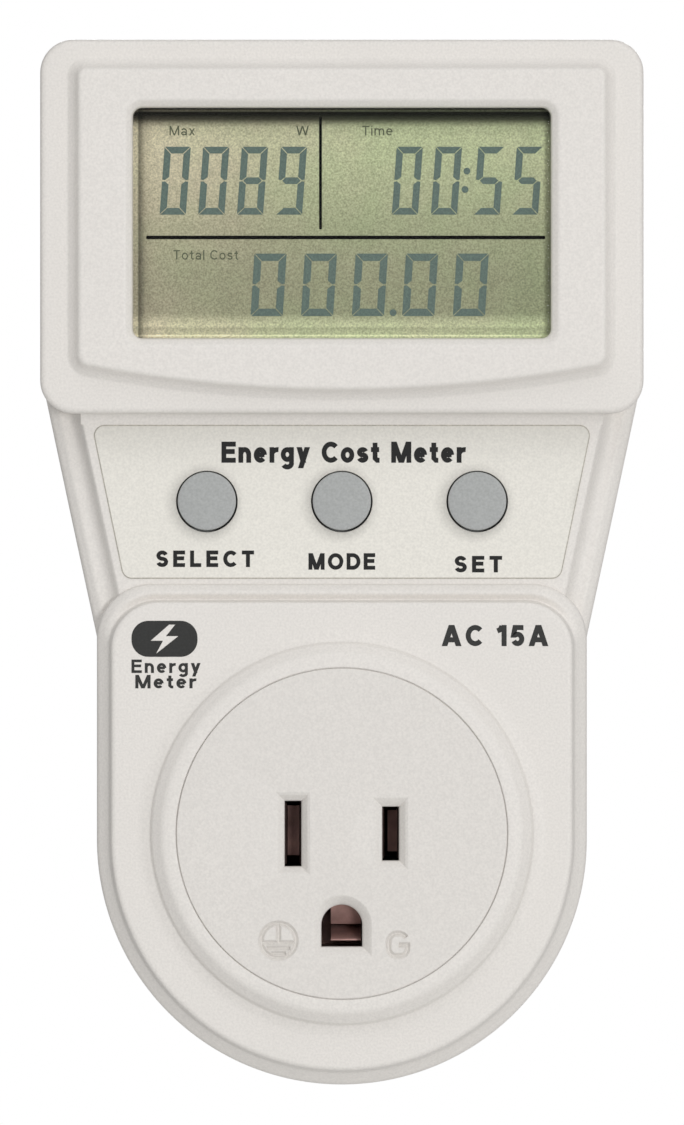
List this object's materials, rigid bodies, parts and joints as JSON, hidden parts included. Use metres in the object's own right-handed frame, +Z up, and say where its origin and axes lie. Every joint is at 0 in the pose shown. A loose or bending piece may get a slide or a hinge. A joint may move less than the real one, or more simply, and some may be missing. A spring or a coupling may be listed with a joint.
{
  "type": "plug in power meter",
  "caption": "Plug in power meter: a display head and push buttons above a pass-through earthed socket, with the plug blades on the back.",
  "frame": {"origin": "on the flat rear plug face, midway between the two flat blades", "axes": "+Y out of the plug face along the blades, into the wall; +Z up as plugged in; +X to the right seen from the front; the display faces -Y"},
  "size_m": [0.0786, 0.0576, 0.1362],
  "materials": {
    "white_plastic": "fine matt moulded grain",
    "socket_plastic": "fine matt moulded grain",
    "dark_plastic": "matt",
    "label_film": "satin printed film",
    "button_plastic": "matt",
    "clear_plastic": "clear, polished",
    "lcd_glass": "grey-green, satin",
    "reflector_film": "satin",
    "plated_brass": "nickel plated, polished",
    "contact_copper": "bare rolled copper alloy",
    "screw_steel": "zinc plated",
    "board_green": "solder mask",
    "black_epoxy": "matt moulded",
    "capacitor_yellow": "matt moulded",
    "varistor_blue": "dipped coating",
    "capacitor_sleeve": "shrink sleeve",
    "resistor_beige": "painted ceramic",
    "diode_glass": "glass bead",
    "wire_insulation": "smooth",
    "grey_rubber": "matt",
    "battery_wrap": "shrink wrap",
    "blank_label": "blank film"
  },
  "bodies": {
    "housing": {"front_housing": "white_plastic", "rear_housing": "white_plastic", "display_window": "clear_plastic", "label_overlay": "label_film", "socket_insert": "socket_plastic", "contact_carrier": "dark_plastic", "contact_live": "contact_copper", "contact_neutral": "contact_copper", "contact_earth": "contact_copper", "plug_insert": "socket_plastic", "blade_live": "plated_brass", "blade_neutral": "plated_brass", "pin_earth": "plated_brass", "busbar_neutral": "contact_copper", "busbar_live_in": "contact_copper", "busbar_live_out": "contact_copper", "earth_strap": "contact_copper", "shunt": "plated_brass", "neutral_wire": "wire_insulation", "main_pcb": "board_green", "x2_capacitor": "capacitor_yellow", "varistor": "varistor_blue", "main_capacitor": "capacitor_sleeve", "output_capacitor": "capacitor_sleeve", "dropper_resistor": "resistor_beige", "zener_diode": "diode_glass", "regulator": "black_epoxy", "crystal": "screw_steel", "metering_chip": "black_epoxy", "backup_battery": "battery_wrap", "display_pcb": "board_green", "lcd_front_glass": "lcd_glass", "lcd_rear_glass": "lcd_glass", "lcd_reflector": "reflector_film", "lcd_frame": "dark_plastic", "zebra_strip": "grey_rubber", "display_controller": "black_epoxy", "ribbon_cable": "wire_insulation", "rating_label": "blank_label", "tact_switch_left": "screw_steel", "tact_switch_middle": "screw_steel", "tact_switch_right": "screw_steel", "housing_screw_top_left": "screw_steel", "housing_screw_top_right": "screw_steel", "housing_screw_bottom_left": "screw_steel", "housing_screw_bottom_right": "screw_steel", "carrier_screw_left": "screw_steel", "carrier_screw_right": "screw_steel", "display_screw_left": "screw_steel", "display_screw_right": "screw_steel", "board_screw_left": "screw_steel", "board_screw_right": "screw_steel"},
    "button_left": {"button_left": "button_plastic", "plunger_left": "black_epoxy"},
    "button_middle": {"button_middle": "button_plastic", "plunger_middle": "black_epoxy"},
    "button_right": {"button_right": "button_plastic", "plunger_right": "black_epoxy"}
  },
  "joints": [
    {"name": "press_left", "type": "slide", "parent": "housing", "child": "button_left", "axis": [0, 1, 0], "range_m": [0, 0.0008], "stiffness_N_per_m": 400, "springref_m": -0.001},
    {"name": "press_middle", "type": "slide", "parent": "housing", "child": "button_middle", "axis": [0, 1, 0], "range_m": [0, 0.0008], "stiffness_N_per_m": 400, "springref_m": -0.001},
    {"name": "press_right", "type": "slide", "parent": "housing", "child": "button_right", "axis": [0, 1, 0], "range_m": [0, 0.0008], "stiffness_N_per_m": 400, "springref_m": -0.001}
  ]
}
